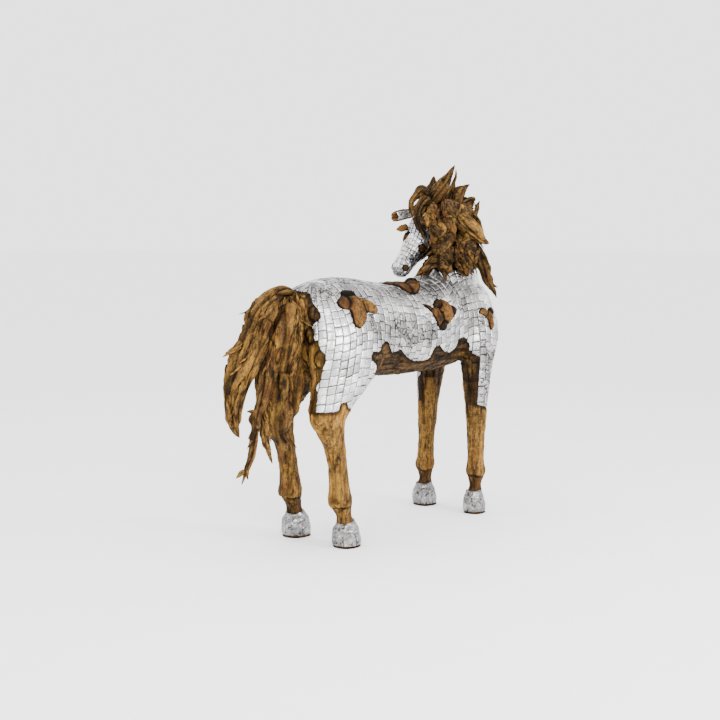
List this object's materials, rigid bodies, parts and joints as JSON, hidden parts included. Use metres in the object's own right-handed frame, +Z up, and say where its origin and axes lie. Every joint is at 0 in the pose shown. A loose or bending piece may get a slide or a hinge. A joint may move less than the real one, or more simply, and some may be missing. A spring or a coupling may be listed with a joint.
{
  "type": "horse sculpture of root wood and metal plates",
  "caption": "Life-size standing horse looking back over its side, carved root wood clad in small hammered metal plates, with a gnarled root mane and tail.",
  "frame": {"origin": "on the ground under the middle of the bounding box", "axes": "+Z up, the horse's chest towards +X, its left side towards +Y; the head is turned back over the left side"},
  "size_m": [2.16, 0.6198, 2.1958],
  "materials": {
    "root_wood": "oiled, worn",
    "dark_wood": "oiled, worn",
    "metal_plate": "hammered and polished, dark in the seams"
  },
  "bodies": {
    "root": {"body_plates": "metal_plate", "brow_leaf": "dark_wood", "carcass": "root_wood", "ear_far": "metal_plate", "ear_near": "metal_plate", "eye_far": "dark_wood", "eye_near": "dark_wood", "head_plates": "metal_plate", "hoof_fore_left": "metal_plate", "hoof_fore_right": "metal_plate", "hoof_hind_left": "metal_plate", "hoof_hind_right": "metal_plate", "mane_arch": "root_wood", "mane_back_a": "root_wood", "mane_back_b": "root_wood", "mane_back_c": "root_wood", "mane_brow_lock": "root_wood", "mane_core": "root_wood", "mane_crown_left": "root_wood", "mane_crown_right": "root_wood", "mane_crown_tall": "root_wood", "mane_crown_thin": "root_wood", "mane_crown_wide": "root_wood", "mane_curl_high": "root_wood", "mane_curl_low": "root_wood", "mane_forelock": "root_wood", "mane_hang_a": "root_wood", "mane_hang_b": "root_wood", "mane_hang_low": "root_wood", "mane_long_right": "root_wood", "mane_side_a": "root_wood", "mane_side_b": "root_wood", "mane_side_c": "root_wood", "mane_slab": "root_wood", "mane_stick": "root_wood", "nostril_far": "dark_wood", "nostril_near": "dark_wood", "patch_flank_left": "dark_wood", "patch_flank_right": "dark_wood", "patch_rump_left": "dark_wood", "patch_rump_right": "dark_wood", "patch_shoulder_left": "dark_wood", "patch_shoulder_right": "dark_wood", "patch_withers": "dark_wood", "sole_fore_left": "dark_wood", "sole_fore_right": "dark_wood", "sole_hind_left": "dark_wood", "sole_hind_right": "dark_wood", "tail_inner": "root_wood", "tail_middle": "root_wood", "tail_outer": "root_wood", "tail_root": "root_wood", "tail_spike": "root_wood", "tail_spur": "root_wood"}
  },
  "joints": []
}
